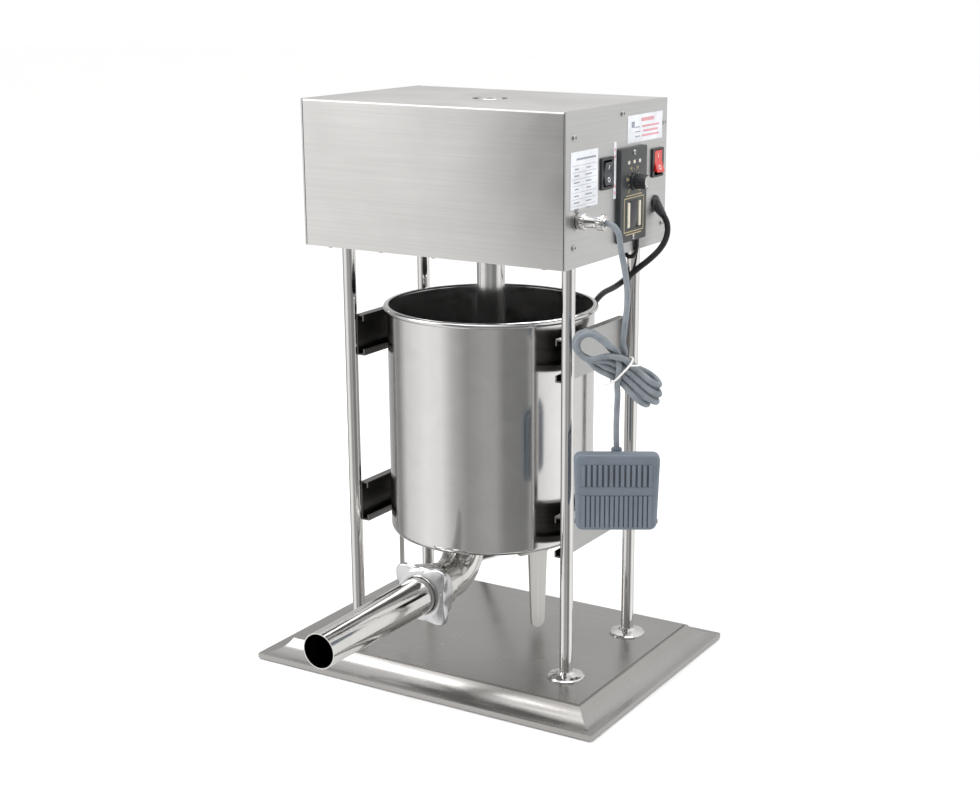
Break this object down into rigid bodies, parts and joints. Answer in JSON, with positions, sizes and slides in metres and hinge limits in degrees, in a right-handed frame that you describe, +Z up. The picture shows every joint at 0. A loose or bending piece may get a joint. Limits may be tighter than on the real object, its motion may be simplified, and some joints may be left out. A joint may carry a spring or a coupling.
{
  "type": "sausage stuffer",
  "caption": "Electric vertical sausage stuffer: round barrel in a post frame under a rack-driven piston head, with outlet elbow, filling tube, panel controls and hanging foot switch.",
  "frame": {"origin": "middle of the base's underside, on the table, below the barrel's axis", "axes": "+Z up along the piston rod, -Y towards the filling tube, +X towards the control panel"},
  "size_m": [0.6047, 0.7597, 0.713],
  "materials": {
    "polished_steel": "mirror polished stainless steel",
    "brushed_steel": "stainless sheet brushed along its length",
    "rail_steel": "dark brushed stainless channel",
    "plated_steel": "bright plated steel",
    "gear_steel": "machined and greased steel",
    "structural_steel": "plain machined steel plate",
    "bronze": "turned bronze",
    "seal": "food-grade white silicone",
    "board": "board under the base's sheet",
    "rubber_mat": "ribbed black rubber",
    "motor_paint": "satin dark paint",
    "black_plastic": "moulded black plastic",
    "red_plastic": "translucent red plastic",
    "label_film": "blank printed film",
    "black_cord": "black cable sheath",
    "grey_cord": "grey cable sheath",
    "grey_plastic": "blue-grey moulded plastic"
  },
  "bodies": {
    "frame": {"base_skin": "brushed_steel", "base_core": "board", "anti_slip_mat": "rubber_mat", "post_front_left": "polished_steel", "post_front_right": "polished_steel", "post_back_left": "polished_steel", "post_back_right": "polished_steel", "post_collars": "polished_steel", "post_nuts": "plated_steel", "rail_upper_left": "rail_steel", "rail_upper_right": "rail_steel", "rail_lower_left": "rail_steel", "rail_lower_right": "rail_steel", "barrel": "polished_steel", "barrel_legs": "brushed_steel", "barrel_lugs": "brushed_steel", "outlet_elbow": "polished_steel", "nozzle_gasket": "seal", "filling_tube": "polished_steel", "head_cover": "brushed_steel", "right_panel": "brushed_steel", "left_panel": "brushed_steel", "panel_screws": "plated_steel", "deck_plate": "structural_steel", "rod_bush": "bronze", "upper_guide": "structural_steel", "bearing_plate_left": "structural_steel", "bearing_plate_right": "structural_steel", "shaft_bearings": "plated_steel", "motor_bracket": "structural_steel", "gear_motor": "motor_paint", "speed_controller": "black_plastic", "direction_switch": "black_plastic", "power_switch": "black_plastic", "label_plates": "label_film", "controller_lead": "black_cord", "foot_socket": "plated_steel", "foot_plug": "plated_steel", "foot_cord": "grey_cord", "foot_cord_hank": "grey_cord", "foot_drop_cord": "grey_cord", "foot_switch": "grey_plastic", "cord_gland": "black_plastic", "power_cord": "black_cord", "power_cord_coil": "black_cord", "power_plug": "black_cord"},
    "wing_nut": {"wing_nut": "polished_steel"},
    "piston_unit": {"piston_plate": "polished_steel", "piston_seal": "seal", "piston_rod": "polished_steel", "piston_nut": "plated_steel"},
    "air_valve": {"air_valve": "bronze"},
    "drive_shaft": {"drive_shaft": "plated_steel", "rack_pinion": "gear_steel", "drive_gear": "gear_steel"},
    "motor_output": {"motor_pinion": "gear_steel"},
    "speed_knob": {"speed_knob": "black_plastic"},
    "direction_rocker": {"direction_rocker": "black_plastic"},
    "power_rocker": {"power_rocker": "red_plastic"},
    "foot_pedal": {"foot_pedal": "grey_plastic"}
  },
  "joints": [
    {"name": "piston_lift", "type": "slide", "parent": "frame", "child": "piston_unit", "axis": [0, 0, 1], "range_m": [0, 0.3]},
    {"name": "valve_lift", "type": "slide", "parent": "piston_unit", "child": "air_valve", "axis": [0, 0, 1], "range_m": [0, 0.004]},
    {"name": "shaft_turn", "type": "hinge", "parent": "frame", "child": "drive_shaft", "pos_m": [0, 0.03815, 0.612], "axis": [-1, 0, 0], "range_deg": [-1, 640]},
    {"name": "motor_turn", "type": "hinge", "parent": "frame", "child": "motor_output", "pos_m": [0, -0.024, 0.64865], "axis": [1, 0, 0], "range_deg": [-2, 1912]},
    {"name": "nut_turn", "type": "hinge", "parent": "frame", "child": "wing_nut", "pos_m": [0, -0.155, 0.131], "axis": [0, -1, 0], "continuous": true},
    {"name": "speed_dial", "type": "hinge", "parent": "frame", "child": "speed_knob", "pos_m": [0.19, 0.032, 0.622], "axis": [-1, 0, 0], "range_deg": [0, 280]},
    {"name": "direction_rock", "type": "hinge", "parent": "frame", "child": "direction_rocker", "pos_m": [0.17, -0.028, 0.637], "axis": [0, 1, 0], "range_deg": [-9, 9]},
    {"name": "power_rock", "type": "hinge", "parent": "frame", "child": "power_rocker", "pos_m": [0.17, 0.103, 0.637], "axis": [0, 1, 0], "range_deg": [0, 18]},
    {"name": "pedal_press", "type": "hinge", "parent": "frame", "child": "foot_pedal", "pos_m": [0.2305, -0.0996, 0.245], "axis": [-0.866, -0.5, 0], "range_deg": [0, 5], "stiffness_Nm_per_rad": 3}
  ],
  "couplings": [
    {"joint": "shaft_turn", "follows": "piston_lift", "rad_per_m": 37.037},
    {"joint": "motor_turn", "follows": "piston_lift", "rad_per_m": 111.11}
  ]
}
